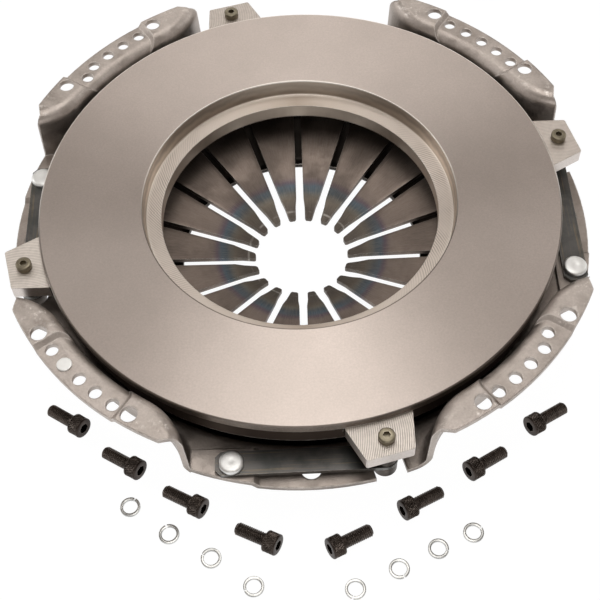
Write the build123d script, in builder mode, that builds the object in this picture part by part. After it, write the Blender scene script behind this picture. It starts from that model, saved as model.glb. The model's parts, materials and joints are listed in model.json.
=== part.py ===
from build123d import *
import math
import os

# Diaphragm clutch pressure plate for a 13 inch disc, with its fixing bolts and lock washers.
# Millimetres. +Z points from the cover to the flywheel. The origin is the centre of the bolt
# circle, on the face of the mounting pads. The four gaps of the cover are centred on the
# X and Y axes, and its four flanges lie between them.

os.makedirs("parts", exist_ok=True)

# The size of the clutch: the outer radius of its ring
ring_r = 165.0

# Cover, pressed from one sheet
quarters = 4
cover_sheet = 3.4
ring_clearance = 4.5
flange_width = 21.5
flange_span = 19.5
flange_corner_span = 21.6
gap_edge_width = 16.9
wall_lean = 1.5
wall_bend = 8.0
wall_foot_bend = 5.0
end_turn_span = 13.2
end_turn_r = 44.0
end_foot_r = 46.0
end_turn_sweep = 80.0
flange_recess = 3.2
recess_span = 9.9
recess_step_span = 0.9
recess_bend = 8.6
recess_bite = 0.15
recess_reach = 12.0
shelf_drop = 37.5
shelf_inset = 9.5
dish_rise_width = 8.0
lip_inset = 37.0
lip_width = 5.0
lip_drop = 68.1
seat_margin = 2.3
dish_bend = 5.0

# Holes of the cover
bolt_edge = 6.85
bolt_hole_r = 4.96
bolt_half_span = 12.4
small_hole_r = 3.95
small_hole_inset = 0.95
small_hole_step = 4.2
inset_hole_inset = 4.0
inset_hole_span = 7.5
shelf_hole_r = 6.0
shelf_hole_offset = 5.5
shelf_hole_angle = 0.6
notch_half_width = 9.3
notch_shift = 1.2

# Pressure ring
face_width = 65.2
face_drop = 4.5
bore_taper = 1.4
ledge_drop = 16.0
ledge_inner_drop = 17.4
ledge_width = 9.4
ring_depth = 23.0
rim_depth = 20.5
band_depth = 5.5
rim_inset = 2.5
rim_chamfer = 0.6
ring_relief = 1.2
relief_margin = 2.0
land_width = 6.5
land_flare = 1.5
land_margin = 0.6
land_slots = 18
land_slot_width = 9.0
lug_angle = 14.4
lug_drop = 9.5
lug_thickness = 9.0
lug_root_half = 20.0
lug_tip_half = 14.2
lug_end_width = 10.4
lug_corner = 1.5
lug_root = 6.0

# Diaphragm spring
fingers = 18
slot_start_angle = 10.0
diaphragm_thickness = 3.2
diaphragm_inset = 15.0
diaphragm_slope = 0.262
tip_r = 31.0
tip_bend_r = 46.0
tip_slope = 0.41
slot_width = 5.0
tip_slot_width = 6.2
tip_shoulder_r = 40.0
window_width = 12.0
window_length = 11.0
window_corner = 3.0
window_shift = 1.0
diaphragm_edge = 0.8

# Pivot of the diaphragm spring
pivot_drop = 43.0
wire_d = 4.5
wire_fit = 0.03
wire_gap_angle = 1.6
pivot_rivets = 9
pivot_rivet_inset = 33.0
pivot_rivet_shank_r = 4.0
pivot_rivet_head_r = 8.0
pivot_rivet_head = 3.0
pivot_rivet_edge = 0.75
pivot_rivet_stem_r = 3.2
pivot_rivet_tail_r = 6.2
pivot_rivet_tail = 2.6
pivot_rivet_round = 1.5

# Drive straps
strap_leaves = 3
leaf_thickness = 1.0
strap_width = 15.0
strap_overhang = 9.5
strap_corner = 3.5
strap_rivet_offset = 1.1
strap_rivet_angle = 14.3
strap_rivet_head_r = 7.5
strap_rivet_head = 3.0
strap_rivet_crown = 0.8
strap_rivet_shank_r = 4.0
strap_rivet_tail_r = 6.0
strap_rivet_tail = 2.5
rivet_pad_rise = 3.0
rivet_pad_reach = 12.5
rivet_pad_slope = 4.0
rivet_pad_run = 24.0
rivet_pad_taper = 0.4
pad_margin = 1.0

# Lug screws and what they clamp
screw_offset = 11.6
screw_angle = 14.57
screw_head_r = 4.85
screw_head = 4.4
screw_shank_r = 3.1
screw_key_flats = 4.0
screw_key_depth = 2.6
screw_tail = 1.0
screw_head_round = 0.6
spacer_r = 7.2
nut_r = 7.2
nut_height = 10.0
spacer_edge = 0.4
nut_edge = 1.2

# Balance rivet
balance_flange_angle = 225.0
balance_head_r = 4.6
balance_head = 1.2
balance_round = 0.6

# Loose fixings that lie in front of the plate
bolt_shank_r = 4.0
bolt_head_r = 6.5
bolt_head = 8.0
bolt_length = 20.0
bolt_key_flats = 6.0
bolt_key_depth = 4.0
bolt_head_round = 0.7
bolt_tip = 0.9
washer_outer_r = 6.15
washer_inner_r = 4.15
washer_height = 2.0
washer_split = 1.6
washer_split_slant = 60.0
washer_turn = 47.0

# Where the loose fixings lie: the middle of each bolt's head face and the way it points,
# then the middle of each washer
bolt_places = [
    (-137.4, -129.2, -35.3),
    (-101.0, -159.1, -33.7),
    (-62.5, -185.4, -31.3),
    (-18.8, -209.7, -28.6),
    (10.7, -213.0, 207.5),
    (54.2, -190.8, 208.5),
    (95.4, -167.2, 211.9),
    (135.6, -138.5, 211.5),
]
washer_places = [
    (-107.0, -179.6),
    (-83.2, -197.7),
    (-58.2, -213.4),
    (-33.5, -231.4),
    (24.6, -234.9),
    (50.4, -223.7),
    (73.9, -212.3),
    (95.2, -203.1),
]

# Running and seating clearances
shank_clearance = 0.15
bore_fit = 0.05
seat_gap = 0.3
cut_over = 1.0
outer_margin = 90.0


def at_angle(radius, angle):
    """A point in plan, by its radius and its angle from the X axis."""
    return (radius * math.cos(math.radians(angle)), radius * math.sin(math.radians(angle)))


def turned(angle, height=0.0):
    """A level plane whose X axis points outward at the given angle."""
    direction = at_angle(1.0, angle)
    return Plane(origin=(0, 0, height), x_dir=(direction[0], direction[1], 0), z_dir=(0, 0, 1))


quarter_angles = [360 / quarters * n for n in range(quarters)]
flange_angles = [180 / quarters + angle for angle in quarter_angles]
inset_flange_angles = flange_angles[1::2]

# Radii that follow from the ring
wall_r = ring_r + ring_clearance
flange_r = wall_r + flange_width
gap_r = wall_r + gap_edge_width
shelf_inner_r = wall_r - shelf_inset
bolt_circle_r = flange_r - bolt_edge
small_hole_circle_r = bolt_circle_r - small_hole_inset
inset_hole_circle_r = small_hole_circle_r - inset_hole_inset
shelf_hole_circle_r = wall_r + shelf_hole_offset
face_bore_r = ring_r - face_width
ledge_outer_r = face_bore_r - bore_taper
ring_bore_r = ledge_outer_r - ledge_width
screw_circle_r = ring_r + screw_offset
lug_tip_r = screw_circle_r + lug_end_width
strap_rivet_circle_r = screw_circle_r + strap_rivet_offset
diaphragm_r = ring_r - diaphragm_inset
pivot_rivet_circle_r = diaphragm_r - pivot_rivet_inset
lip_r = pivot_rivet_circle_r - lip_inset

# Heights and fits that follow from the driving sizes
shelf_top = -shelf_drop
pad_top = shelf_top + rivet_pad_rise
face_z = -face_drop
ring_back = face_z - ring_depth
lug_top = -lug_drop
lug_bottom = lug_top - lug_thickness
strap_bottom = pad_top
strap_top = strap_bottom + strap_leaves * leaf_thickness
pivot_z = -pivot_drop
tilt = math.atan(diaphragm_slope)
wire_r = wire_d / 2
pivot_r = pivot_rivet_circle_r + pivot_rivet_shank_r + wire_r + bore_fit
wire_offset = (diaphragm_thickness / 2 + wire_r + wire_fit) / math.cos(tilt)
upper_wire_z = pivot_z + wire_offset
lower_wire_z = pivot_z - wire_offset
seat_top = lower_wire_z - wire_r - wire_fit
floor_z = -lip_drop - cover_sheet
seat_outer_r = shelf_inner_r - dish_rise_width
seat_inner_r = pivot_rivet_circle_r - pivot_rivet_tail_r - seat_margin
land_r = diaphragm_r - land_width / 2 - land_margin
deep = -2 * lip_drop
wide = flange_r + outer_margin
foot_reach = (flange_r + wide) / 2


def diaphragm_height(radius):
    """Height of the middle of the diaphragm's thickness at a radius outside its tips."""
    return pivot_z + (radius - pivot_r) * diaphragm_slope


def small_hole_places(angle):
    """Centres of one flange's small holes, clockwise to anticlockwise."""
    places = [
        at_angle(small_hole_circle_r, angle + step * small_hole_step) for step in range(-2, 3)
    ]
    if angle in inset_flange_angles:
        places[-1] = at_angle(inset_hole_circle_r, angle + inset_hole_span)
    return places


# Cover
# The sheet is what lies between two forms: all that is under its upper face,
# less all that is under its lower face.

def dish_form(drop):
    """What lies under the dish and the shelf, a given depth below their upper face."""
    with BuildPart() as form:
        with BuildSketch(Plane.XZ):
            with BuildLine():
                Polyline(
                    (0, deep),
                    (wide, deep),
                    (wide, shelf_top),
                    (shelf_inner_r, shelf_top),
                    (seat_outer_r, seat_top),
                    (seat_inner_r, seat_top),
                    (lip_r + lip_width, -lip_drop),
                    (0, -lip_drop),
                    close=True,
                )
            face = make_face()
            bends = face.vertices().filter_by(
                lambda v: lip_r < v.X < wide - cut_over and v.Z > deep + cut_over
            )
            fillet(bends, radius=dish_bend)
            if drop:
                offset(amount=-drop, mode=Mode.REPLACE)
        revolve(axis=Axis.Z)
    return form.part


def flange_plan(plane, inner_r, turn_r):
    """Plan of a flange: an arc along the ring that turns outward at both ends."""
    turn_centre = inner_r + turn_r
    with BuildSketch(plane) as plan:
        with BuildLine():
            start = at_angle(inner_r, -end_turn_span)
            finish = at_angle(inner_r, end_turn_span)
            ThreePointArc(start, (inner_r, 0), finish)
            for side in (-1, 1):
                cx, cy = at_angle(turn_centre, side * end_turn_span)
                base = 180 + side * end_turn_span
                mid = at_angle(turn_r, base - side * end_turn_sweep / 2)
                end = at_angle(turn_r, base - side * end_turn_sweep)
                corner = start if side < 0 else finish
                ThreePointArc(corner, (cx + mid[0], cy + mid[1]), (cx + end[0], cy + end[1]))
                Line((cx + end[0], cy + end[1]), (wide, cy + end[1]))
            low = at_angle(turn_centre, -end_turn_span)
            low_end = at_angle(turn_r, 180 - end_turn_span + end_turn_sweep)
            Line((wide, low[1] + low_end[1]), (wide, -low[1] - low_end[1]))
        make_face()
    return plan.sketch


def recess_form(angle, drop):
    """What is pressed away over the middle of a flange, between its two stepped pads."""
    low = -flange_recess - drop
    bend = recess_bend - drop
    bend_z = low - bend
    wall_x = wall_r - wall_lean * (flange_recess + recess_bend) / shelf_drop
    bend_x = wall_x + recess_bend - recess_bite
    slope = recess_step_span / flange_recess
    inner_r = wall_r - recess_reach
    with BuildPart() as recess:
        for height in (bend_z - cut_over, cut_over):
            span = recess_span + slope * (height - low)
            with BuildSketch(turned(angle, height)):
                Polygon(
                    at_angle(inner_r, -span),
                    at_angle(wide, -span),
                    at_angle(wide, span),
                    at_angle(inner_r, span),
                    align=None,
                )
        loft(ruled=True)
        start = angle - 2 * recess_span
        section = Plane(
            origin=(0, 0, 0), x_dir=at_angle(1, start) + (0,), z_dir=at_angle(1, start - 90) + (0,)
        )
        with BuildSketch(section):
            with BuildLine():
                Polyline(
                    (bend_x - bend, bend_z),
                    (inner_r, bend_z),
                    (inner_r, 2 * cut_over),
                    (2 * wide, 2 * cut_over),
                    (2 * wide, low),
                    (bend_x, low),
                )
                ThreePointArc(
                    (bend_x, low),
                    (bend_x - bend * math.sqrt(0.5), bend_z + bend * math.sqrt(0.5)),
                    (bend_x - bend, bend_z),
                )
            make_face()
        revolve(axis=Axis.Z, revolution_arc=4 * recess_span, mode=Mode.INTERSECT)
    return recess.part


def flange_form(angle, drop):
    """What lies under one flange, a given depth below its upper face."""
    foot_z = shelf_top - drop - cover_sheet
    lean = wall_lean * (-foot_z - drop) / shelf_drop
    foot_turn = end_turn_r + (end_foot_r - end_turn_r) * (-foot_z - drop) / shelf_drop
    with BuildPart() as form:
        add(flange_plan(turned(angle, -drop), wall_r + drop, end_turn_r - drop))
        add(flange_plan(turned(angle, foot_z), wall_r - lean + drop, foot_turn - drop))
        loft(ruled=True)
        top_edges = form.edges().filter_by(lambda e: abs(e.center().Z + drop) < 0.01)
        inner_edges = top_edges.filter_by(GeomType.CIRCLE)
        fillet(inner_edges, radius=wall_bend - drop)
        add(recess_form(angle, drop), mode=Mode.SUBTRACT)
    return form.part


def pad_form(angle, drop):
    """What lies under the raised seat of one strap rivet."""
    rivet_y = at_angle(strap_rivet_circle_r, -strap_rivet_angle)[1]
    step = rivet_y + rivet_pad_reach
    taper = drop * rivet_pad_taper
    with BuildPart() as form:
        with BuildSketch(
            Plane(
                origin=at_angle(shelf_inner_r + pad_margin + drop, angle) + (0,),
                x_dir=at_angle(1, angle + 90) + (0,),
                z_dir=at_angle(1, angle) + (0,),
            )
        ):
            with BuildLine():
                Polyline(
                    (rivet_y - rivet_pad_run, deep),
                    (rivet_y - rivet_pad_run, pad_top - drop),
                    (step - taper, pad_top - drop),
                    (step + rivet_pad_slope - taper, shelf_top - drop - cut_over / 2),
                    (step + rivet_pad_slope - taper, deep),
                    close=True,
                )
            make_face()
        extrude(amount=wide - shelf_inner_r)
    return form.part


def cover_form(drop):
    """All that lies a given depth under the cover's upper face."""
    dish = dish_form(drop)
    flanges = [flange_form(angle, drop) for angle in flange_angles]
    pads = [pad_form(angle, drop) for angle in quarter_angles]
    with BuildPart() as form:
        add(dish)
        add(flanges)
        level = form.edges().filter_by(
            lambda e: all(
                abs((e @ share).Z - shelf_top + drop) < 0.01 for share in (0, 0.3, 0.5, 0.8, 1)
            )
        )
        feet = level.filter_by(
            lambda e: all(
                shelf_inner_r + dish_bend < math.hypot((e @ share).X, (e @ share).Y) < foot_reach
                for share in (0.3, 0.5, 0.8)
            )
        )
        fillet(feet, radius=wall_foot_bend + drop)
        add(pads)
    return form.part


upper_form = cover_form(0)
lower_form = cover_form(cover_sheet)


with BuildPart() as cover:
    # Outline of the blank, with its corners cut off at the ends of the flanges
    with BuildSketch(Plane.XY.offset(floor_z - cut_over)):
        Circle(gap_r)
        for angle in flange_angles:
            with BuildLine():
                left = at_angle(flange_r, angle + flange_span)
                right = at_angle(flange_r, angle - flange_span)
                left_corner = at_angle(gap_r, angle + flange_corner_span)
                right_corner = at_angle(gap_r, angle - flange_corner_span)
                ThreePointArc(left, at_angle(flange_r, angle), right)
                Polyline(right, right_corner, (0, 0), left_corner, left)
            make_face()
        Circle(lip_r, mode=Mode.SUBTRACT)
        # Notches that clear the nuts under the lugs, and one plain hole beside each
        for angle in quarter_angles:
            notch_angle = angle + screw_angle + math.degrees(notch_shift / screw_circle_r)
            cx, cy = at_angle(screw_circle_r, notch_angle)
            with Locations(Location((cx, cy, 0), (0, 0, notch_angle))):
                Circle(notch_half_width, mode=Mode.SUBTRACT)
                Rectangle(
                    2 * (gap_r - screw_circle_r),
                    2 * notch_half_width,
                    align=(Align.MIN, Align.CENTER),
                    mode=Mode.SUBTRACT,
                )
            with Locations(at_angle(shelf_hole_circle_r, angle + shelf_hole_angle)):
                Circle(shelf_hole_r, mode=Mode.SUBTRACT)
            with Locations(at_angle(strap_rivet_circle_r, angle - strap_rivet_angle)):
                Circle(strap_rivet_shank_r + bore_fit, mode=Mode.SUBTRACT)
        with PolarLocations(pivot_rivet_circle_r, pivot_rivets, start_angle=slot_start_angle):
            Circle(pivot_rivet_stem_r + bore_fit, mode=Mode.SUBTRACT)
    extrude(amount=-floor_z + 2 * cut_over)
    add(upper_form, mode=Mode.INTERSECT)
    add(lower_form, mode=Mode.SUBTRACT)
    # Bolt holes in the pads, and the row of small holes between them
    with BuildSketch(Plane.XY.offset(-cover_sheet - flange_recess - cut_over)):
        for angle in flange_angles:
            for side in (-1, 1):
                with Locations(at_angle(bolt_circle_r, angle + side * bolt_half_span)):
                    Circle(bolt_hole_r)
            for place in small_hole_places(angle):
                with Locations(place):
                    Circle(small_hole_r)
    extrude(amount=cover_sheet + flange_recess + 2 * cut_over, mode=Mode.SUBTRACT)

# Pressure ring, one casting with four lugs

with BuildPart() as pressure_ring:
    rim_bottom = face_z - rim_depth
    land_half = land_width / 2
    with BuildSketch(Plane.XZ):
        with BuildLine():
            land_z = diaphragm_height(land_r) + (
                diaphragm_thickness / 2 + land_half + seat_gap
            ) / math.cos(tilt)
            relief_z = ring_back + ring_relief
            relief_inner = pivot_rivet_circle_r - pivot_rivet_head_r - relief_margin
            Polyline(
                (land_r - land_half, land_z),
                (land_r - land_half - land_flare, relief_z),
                (relief_inner, relief_z),
                (relief_inner - ring_relief, ring_back),
                (ring_bore_r, ring_back),
                (ring_bore_r, -ledge_inner_drop),
                (ledge_outer_r, -ledge_drop),
                (face_bore_r, face_z),
                (ring_r, face_z),
                (ring_r, face_z - band_depth),
                (ring_r - rim_inset, face_z - band_depth - rim_inset),
                (ring_r - rim_inset, rim_bottom),
                (land_r + land_half + land_flare, rim_bottom),
                (land_r + land_half, land_z),
            )
            ThreePointArc(
                (land_r + land_half, land_z),
                (land_r, land_z - land_half),
                (land_r - land_half, land_z),
            )
        make_face()
    revolve(axis=Axis.Z)
    rounds = pressure_ring.edges().filter_by(GeomType.CIRCLE)
    face_rim = rounds.group_by(Axis.Z)[-1].sort_by(SortBy.RADIUS)[-1]
    chamfer(face_rim, length=rim_chamfer)
    # The ridge that the spring bears on is broken by vents.
    with BuildSketch(Plane.XY.offset(rim_bottom)):
        with PolarLocations(land_r, land_slots):
            Rectangle(2 * (land_half + land_flare) + cut_over, land_slot_width)
    extrude(amount=-(rim_bottom - land_z + land_half + cut_over), mode=Mode.SUBTRACT)
    for angle in quarter_angles:
        with BuildSketch(turned(angle + lug_angle, lug_bottom)) as lug:
            Polygon(
                (ring_r - lug_root, -lug_root_half),
                (ring_r, -lug_root_half),
                (lug_tip_r, -lug_tip_half),
                (lug_tip_r, lug_tip_half),
                (ring_r, lug_root_half),
                (ring_r - lug_root, lug_root_half),
                align=None,
            )
            tip = lug.vertices().filter_by(lambda v: v.X > ring_r + cut_over)
            fillet(tip, radius=lug_corner)
        extrude(amount=lug_thickness)
    with BuildSketch(Plane.XY.offset(lug_bottom - cut_over)):
        for angle in quarter_angles:
            with Locations(at_angle(screw_circle_r, angle + screw_angle)):
                Circle(screw_shank_r + shank_clearance)
    extrude(amount=lug_thickness + 2 * cut_over, mode=Mode.SUBTRACT)

# Diaphragm spring, a slotted cone whose fingers reach in to the release bearing

with BuildPart() as diaphragm_spring:
    half_rise = diaphragm_thickness / 2 / math.cos(tilt)
    bend_z = diaphragm_height(tip_bend_r)
    tip_z = bend_z - (tip_bend_r - tip_r) * tip_slope
    outer_z = diaphragm_height(diaphragm_r)
    with BuildSketch(Plane.XZ) as cone:
        Polygon(
            (tip_r, tip_z - half_rise),
            (tip_bend_r, bend_z - half_rise),
            (diaphragm_r, outer_z - half_rise),
            (diaphragm_r, outer_z + half_rise),
            (tip_bend_r, bend_z + half_rise),
            (tip_r, tip_z + half_rise),
            align=None,
        )
        corners = cone.vertices().filter_by(
            lambda v: abs(v.X - tip_bend_r) > cut_over
        )
        fillet(corners, radius=diaphragm_edge)
    revolve(axis=Axis.Z)
    with BuildSketch(Plane.XY.offset(deep)):
        window_inner = pivot_rivet_circle_r - window_length / 2 - window_shift
        for n in range(fingers):
            angle = slot_start_angle + n * 360 / fingers
            with Locations(Location((0, 0, 0), (0, 0, angle))):
                Polygon(
                    (0, -tip_slot_width / 2),
                    (tip_shoulder_r, -tip_slot_width / 2),
                    (tip_bend_r, -slot_width / 2),
                    (window_inner + cut_over, -slot_width / 2),
                    (window_inner + cut_over, slot_width / 2),
                    (tip_bend_r, slot_width / 2),
                    (tip_shoulder_r, tip_slot_width / 2),
                    (0, tip_slot_width / 2),
                    align=None,
                )
            middle = window_inner + window_length / 2
            with Locations(Location(at_angle(middle, angle) + (0,), (0, 0, angle))):
                RectangleRounded(window_length, window_width, window_corner)
    extrude(amount=-deep, mode=Mode.SUBTRACT)

# Pivot: two wire rings, and the shouldered rivets that hold them to the cover


def pivot_ring(height):
    """One wire ring, open by a small gap, at the height of its centre."""
    with BuildPart() as ring:
        with BuildSketch(Plane.XZ):
            with Locations((pivot_r, height)):
                Circle(wire_r)
        revolve(axis=Axis.Z, revolution_arc=360 - wire_gap_angle)
    return ring.part


with BuildPart() as pivot_ring_upper:
    add(pivot_ring(upper_wire_z))

with BuildPart() as pivot_ring_lower:
    add(pivot_ring(lower_wire_z))


def stack(places, steps):
    """Round pieces turned on upright axes: each step is a bottom, a top and a radius."""
    with BuildPart() as turned_piece:
        for bottom, top, radius in steps:
            with BuildSketch(Plane.XY.offset(bottom)):
                with Locations(*places):
                    Circle(radius)
            extrude(amount=top - bottom)
    return turned_piece.part


rivet_head_z = upper_wire_z + wire_r + wire_fit
with BuildPart() as pivot_rivet_set:
    rivet_places = [
        at_angle(pivot_rivet_circle_r, slot_start_angle + n * 360 / pivot_rivets)
        for n in range(pivot_rivets)
    ]
    seat_bottom = seat_top - cover_sheet
    add(
        stack(
            rivet_places,
            [
                (rivet_head_z, rivet_head_z + pivot_rivet_head, pivot_rivet_head_r),
                (seat_top, rivet_head_z, pivot_rivet_shank_r),
                (seat_bottom, seat_top, pivot_rivet_stem_r),
                (seat_bottom - pivot_rivet_tail, seat_bottom, pivot_rivet_tail_r),
            ],
        )
    )
    rims = pivot_rivet_set.edges().filter_by(GeomType.CIRCLE)
    chamfer(rims.group_by(Axis.Z)[-1], length=pivot_rivet_edge)
    fillet(rims.group_by(Axis.Z)[0], radius=pivot_rivet_round)

pieces = {
    "cover": cover.part,
    "pressure_ring": pressure_ring.part,
    "diaphragm_spring": diaphragm_spring.part,
    "pivot_ring_upper": pivot_ring_upper.part,
    "pivot_ring_lower": pivot_ring_lower.part,
    "pivot_rivets": pivot_rivet_set.part,
}

# Drive straps: packs of spring leaves from the cover to each lug


def strap_leaf(angle, layer):
    """One leaf, with cut corners past its rivet hole and a round end past its screw hole."""
    start = at_angle(strap_rivet_circle_r, angle - strap_rivet_angle)
    finish = at_angle(screw_circle_r, angle + screw_angle)
    span = math.dist(start, finish)
    middle = ((start[0] + finish[0]) / 2, (start[1] + finish[1]) / 2)
    along = (finish[0] - start[0], finish[1] - start[1], 0)
    base = strap_bottom + layer * leaf_thickness
    with BuildPart() as leaf:
        with BuildSketch(Plane(origin=middle + (base,), x_dir=along, z_dir=(0, 0, 1))) as plan:
            with Locations((span / 2, 0)):
                Rectangle(span + strap_overhang, strap_width, align=(Align.MAX, Align.CENTER))
            chamfer(plan.vertices().group_by(Axis.X)[0], length=strap_corner)
            with Locations((span / 2, 0)):
                Circle(strap_width / 2)
            with Locations((-span / 2, 0)):
                Circle(strap_rivet_shank_r + bore_fit, mode=Mode.SUBTRACT)
            with Locations((span / 2, 0)):
                Circle(screw_shank_r + shank_clearance, mode=Mode.SUBTRACT)
        extrude(amount=leaf_thickness)
    return leaf.part


def strap_rivet(angle):
    """The bright rivet that holds one strap to its pad on the cover."""
    place = at_angle(strap_rivet_circle_r, angle - strap_rivet_angle)
    pad_bottom = pad_top - cover_sheet
    with BuildPart() as rivet:
        add(
            stack(
                [place],
                [
                    (strap_top, strap_top + strap_rivet_head, strap_rivet_head_r),
                    (pad_bottom, strap_top, strap_rivet_shank_r),
                    (pad_bottom - strap_rivet_tail, pad_bottom, strap_rivet_tail_r),
                ],
            )
        )
        rims = rivet.edges().filter_by(GeomType.CIRCLE)
        fillet(rims.group_by(Axis.Z)[-1], radius=strap_rivet_crown)
        fillet(rims.group_by(Axis.Z)[0], radius=strap_rivet_crown)
    return rivet.part


def lug_screw(angle):
    """The socket screw that goes through a lug, its spacer, the strap and a nut."""
    place = at_angle(screw_circle_r, angle + screw_angle)
    tail = strap_bottom - nut_height - screw_tail
    with BuildPart() as screw:
        add(
            stack(
                [place],
                [(lug_top, lug_top + screw_head, screw_head_r), (tail, lug_top, screw_shank_r)],
            )
        )
        rims = screw.edges().filter_by(GeomType.CIRCLE)
        fillet(rims.group_by(Axis.Z)[-1], radius=screw_head_round)
        chamfer(rims.group_by(Axis.Z)[0], length=screw_head_round)
        with BuildSketch(turned(angle, lug_top + screw_head)):
            with Locations(at_angle(screw_circle_r, screw_angle)):
                RegularPolygon(screw_key_flats / 2, side_count=6, major_radius=False)
        extrude(amount=-screw_key_depth, mode=Mode.SUBTRACT)
    return screw.part


def collar(angle, bottom, top, outer_r, bore_r, edge):
    """A round sleeve about a lug screw."""
    place = at_angle(screw_circle_r, angle + screw_angle)
    with BuildPart() as sleeve:
        with BuildSketch(Plane.XY.offset(bottom)):
            with Locations(place):
                Circle(outer_r)
        extrude(amount=top - bottom)
        chamfer(sleeve.edges().filter_by(GeomType.CIRCLE), length=edge)
        with BuildSketch(Plane.XY.offset(bottom)):
            with Locations(place):
                Circle(bore_r)
        extrude(amount=top - bottom, mode=Mode.SUBTRACT)
    return sleeve.part


for number, angle in enumerate(quarter_angles, start=1):
    for layer, level in enumerate(("lower", "middle", "upper")[:strap_leaves]):
        pieces[f"strap_{number}_{level}_leaf"] = strap_leaf(angle, layer)
    pieces[f"strap_rivet_{number}"] = strap_rivet(angle)
    pieces[f"lug_screw_{number}"] = lug_screw(angle)
    pieces[f"lug_spacer_{number}"] = collar(
        angle, strap_top, lug_bottom, spacer_r, screw_shank_r + shank_clearance, spacer_edge
    )
    pieces[f"lug_nut_{number}"] = collar(
        angle, strap_bottom - nut_height, strap_bottom, nut_r, screw_shank_r + bore_fit, nut_edge
    )

# Balance rivet, set in one of the small holes

with BuildPart() as balance_rivet:
    first_hole, second_hole, *others = small_hole_places(balance_flange_angle)
    recess_z = -flange_recess
    add(
        stack(
            [second_hole],
            [
                (recess_z, recess_z + balance_head, balance_head_r),
                (recess_z - cover_sheet, recess_z, small_hole_r - bore_fit),
                (recess_z - cover_sheet - balance_head, recess_z - cover_sheet, balance_head_r),
            ],
        )
    )
    ends = balance_rivet.edges().filter_by(GeomType.CIRCLE).group_by(Axis.Z)
    fillet(ends[-1] + ends[0], radius=balance_round)
pieces["balance_rivet"] = balance_rivet.part

# Loose fixings: each bolt lies on the rim of its head and on its tip


def loose_bolt(head_x, head_y, heading):
    """A socket bolt lying down; heading is where its head points, seen from above."""
    lean = math.atan((bolt_head_r - bolt_shank_r) / (bolt_length - bolt_tip))
    out_x, out_y = at_angle(math.cos(lean), heading)
    root = (
        head_x - out_x * bolt_head,
        head_y - out_y * bolt_head,
        floor_z + bolt_head_r * math.cos(lean),
    )
    axis = Plane(
        origin=root,
        x_dir=(-out_y, out_x, 0),
        z_dir=(out_x, out_y, math.sin(lean)),
    )
    with BuildPart() as bolt:
        with BuildSketch(axis):
            Circle(bolt_head_r)
        extrude(amount=bolt_head)
        rim = bolt.edges().sort_by(Axis(axis.origin, axis.z_dir))[-1]
        fillet(rim, radius=bolt_head_round)
        with BuildSketch(axis.offset(-bolt_length)):
            Circle(bolt_shank_r)
        extrude(amount=bolt_length)
        end = bolt.edges().filter_by(GeomType.CIRCLE).sort_by(Axis(axis.origin, axis.z_dir))[0]
        chamfer(end, length=bolt_tip)
        with BuildSketch(axis.offset(bolt_head)):
            RegularPolygon(bolt_key_flats / 2, side_count=6, major_radius=False)
        extrude(amount=-bolt_key_depth, mode=Mode.SUBTRACT)
    return bolt.part


def lock_washer(x, y, split_angle):
    """A split lock washer lying flat."""
    with BuildPart() as washer:
        with BuildSketch(Plane(origin=(x, y, floor_z), x_dir=at_angle(1, split_angle) + (0,))):
            Circle(washer_outer_r)
            Circle(washer_inner_r, mode=Mode.SUBTRACT)
            middle_r = (washer_outer_r + washer_inner_r) / 2
            band = washer_outer_r - washer_inner_r
            with Locations(Location((middle_r, 0, 0), (0, 0, washer_split_slant))):
                Rectangle(washer_split, 3 * band, mode=Mode.SUBTRACT)
        extrude(amount=washer_height)
    return washer.part


for number, (x, y, heading) in enumerate(bolt_places, start=1):
    pieces[f"fixing_bolt_{number}"] = loose_bolt(x, y, heading)
for number, (x, y) in enumerate(washer_places, start=1):
    pieces[f"lock_washer_{number}"] = lock_washer(x, y, washer_turn * number)

for name, piece in pieces.items():
    piece.label = name
    export_step(piece, f"parts/{name}.step")
    print(name, len(piece.solids()), round(piece.volume / 1000, 2))
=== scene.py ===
import json
import math

import bmesh
import bpy
from mathutils import Matrix, Vector


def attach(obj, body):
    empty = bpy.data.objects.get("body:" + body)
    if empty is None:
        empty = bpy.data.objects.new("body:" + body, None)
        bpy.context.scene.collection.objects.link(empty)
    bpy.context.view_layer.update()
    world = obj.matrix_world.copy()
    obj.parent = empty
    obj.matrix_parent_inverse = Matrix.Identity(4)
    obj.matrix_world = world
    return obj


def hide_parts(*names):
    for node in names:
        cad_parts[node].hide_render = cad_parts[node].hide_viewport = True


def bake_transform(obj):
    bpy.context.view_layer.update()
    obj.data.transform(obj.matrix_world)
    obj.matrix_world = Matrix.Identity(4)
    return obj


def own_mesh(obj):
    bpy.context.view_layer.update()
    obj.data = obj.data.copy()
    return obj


# Clutch pressure plate on a white table: finishes for every part, with finer diaphragm
# spring, drive straps, rivets, screws, bolts and washers. Sizes in millimetres, scene in metres.

MM = 0.001

# Sizes shared with the construction
floor_height = -71.5
screw_circle = 176.6
screw_angle = 14.57
strap_rivet_circle = 177.7
strap_rivet_angle = 14.3
pad_height = -34.5
leaf_thickness = 1.0
lug_top = -9.5
face_height = -4.5
ring_radius = 165.0
bore_radius = 99.8
ledge_radius = 98.4
ledge_height = -16.0
rim_band = 5.5
ring_back = -27.0

fingers = 18
spring_inner_radius = 31.0
spring_outer_radius = 150.0
cone_slope = 0.262
cone_thickness = 3.2
pivot_radius = 123.3
pivot_height = -43.0
tip_bend_radius = 46.0
tip_shoulder_radius = 40.0
tip_slope = 0.41
tip_gap_half_width = 3.1
gap_half = 2.5
slot_end_low = 110.5
slot_end_high = 121.5
slot_end_width = 3.0
slot_end_round = 3.0

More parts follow.
